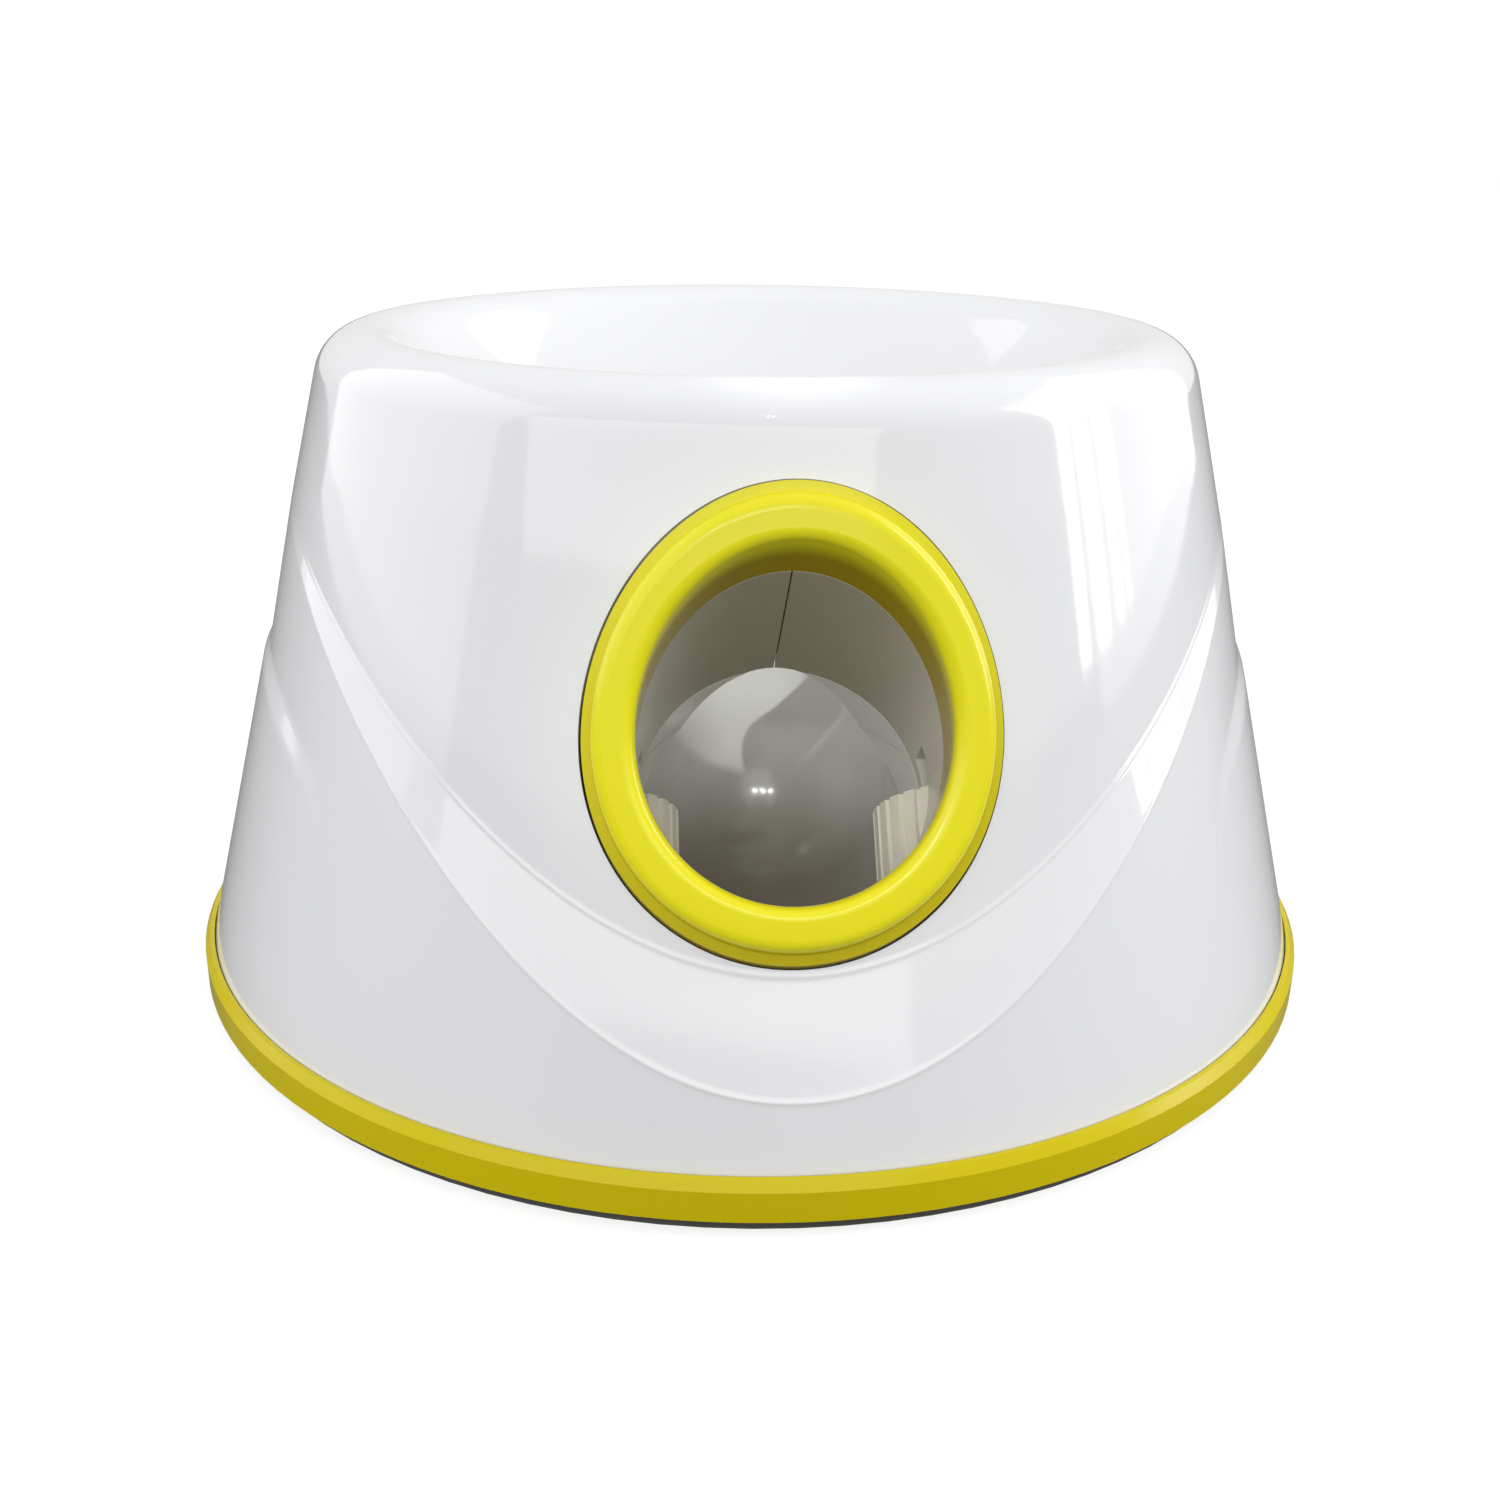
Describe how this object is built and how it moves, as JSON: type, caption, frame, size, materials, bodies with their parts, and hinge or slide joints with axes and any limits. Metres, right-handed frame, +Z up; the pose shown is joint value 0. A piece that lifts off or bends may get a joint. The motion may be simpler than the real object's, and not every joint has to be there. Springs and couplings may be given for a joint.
{
  "type": "automatic dog ball launcher",
  "caption": "Cone-shaped cabinet with a hopper on top, a drop tube, two flywheels and a sloping barrel that throws small balls from a round front port.",
  "frame": {"origin": "on the floor under the cabinet's axis, at the underside of the feet", "axes": "+Z up along the cabinet's axis, -Y towards the launch port, +X to the port's right as seen from the front"},
  "size_m": [0.29, 0.29, 0.1612],
  "materials": {
    "white_abs": "glossy moulded ABS",
    "yellow_abs": "semi-gloss moulded ABS",
    "cream_abs": "semi-gloss moulded ABS",
    "grey_abs": "glossy moulded ABS",
    "dark_grey_abs": "fine texture",
    "yellow_acetal": "satin",
    "cream_rubber": "matte ribbed",
    "dark_nylon": "satin",
    "steel": "bright",
    "motor_can": "plated can",
    "black_housing": "matte",
    "cell_jacket": "satin jacket",
    "circuit_board": "solder mask",
    "light_pipe": "clear moulded",
    "black_rubber": "matte"
  },
  "bodies": {
    "cabinet": {"outer_shell": "white_abs", "base_pan": "yellow_abs", "port_bezel": "yellow_abs", "barrel_left": "cream_abs", "barrel_right": "cream_abs", "elbow_cup": "grey_abs", "drop_tube": "grey_abs", "gate_motor": "black_housing", "motor_left": "motor_can", "motor_right": "motor_can", "battery_box": "grey_abs", "battery_cover": "yellow_abs", "battery_cells": "cell_jacket", "battery_springs": "steel", "battery_contacts": "steel", "control_board": "circuit_board", "board_parts": "black_housing", "beeper": "black_housing", "control_panel": "dark_grey_abs", "level_lights": "light_pipe", "button_board": "circuit_board", "tact_switches": "black_housing", "dc_inlet": "black_housing", "rubber_feet": "black_rubber", "shell_screws": "steel", "chassis_screws": "steel", "cover_screw": "steel", "motor_screws": "steel", "board_screws": "steel", "panel_screws": "steel", "ball_sensor_emitter": "black_housing", "ball_sensor_receiver": "black_housing"},
    "flywheel_left": {"flywheel_tyre_left": "cream_rubber", "flywheel_hub_left": "dark_nylon", "motor_shaft_left": "steel"},
    "flywheel_right": {"flywheel_tyre_right": "cream_rubber", "flywheel_hub_right": "dark_nylon", "motor_shaft_right": "steel"},
    "gate": {"feed_gate": "yellow_acetal", "gate_shaft": "steel"},
    "power_key": {"power_button": "yellow_abs"},
    "distance_key": {"distance_button": "yellow_abs"}
  },
  "joints": [
    {"name": "flywheel_left_spin", "type": "hinge", "parent": "cabinet", "child": "flywheel_left", "pos_m": [-0.0438, -0.08449, 0.05549], "axis": [0, 0.6428, 0.766], "continuous": true},
    {"name": "flywheel_right_spin", "type": "hinge", "parent": "cabinet", "child": "flywheel_right", "pos_m": [0.0438, -0.08449, 0.05549], "axis": [0, 0.6428, 0.766], "continuous": true},
    {"name": "feed_gate_swing", "type": "hinge", "parent": "cabinet", "child": "gate", "pos_m": [0.05, -0.01, 0.0895], "axis": [0, 0, -1], "range_deg": [0, 48]},
    {"name": "power_button_press", "type": "slide", "parent": "cabinet", "child": "power_key", "axis": [0, -0.9685, -0.2492], "range_m": [0, 0.0012], "stiffness_N_per_m": 1500},
    {"name": "distance_button_press", "type": "slide", "parent": "cabinet", "child": "distance_key", "axis": [0, -0.9685, -0.2492], "range_m": [0, 0.0012], "stiffness_N_per_m": 1500}
  ]
}
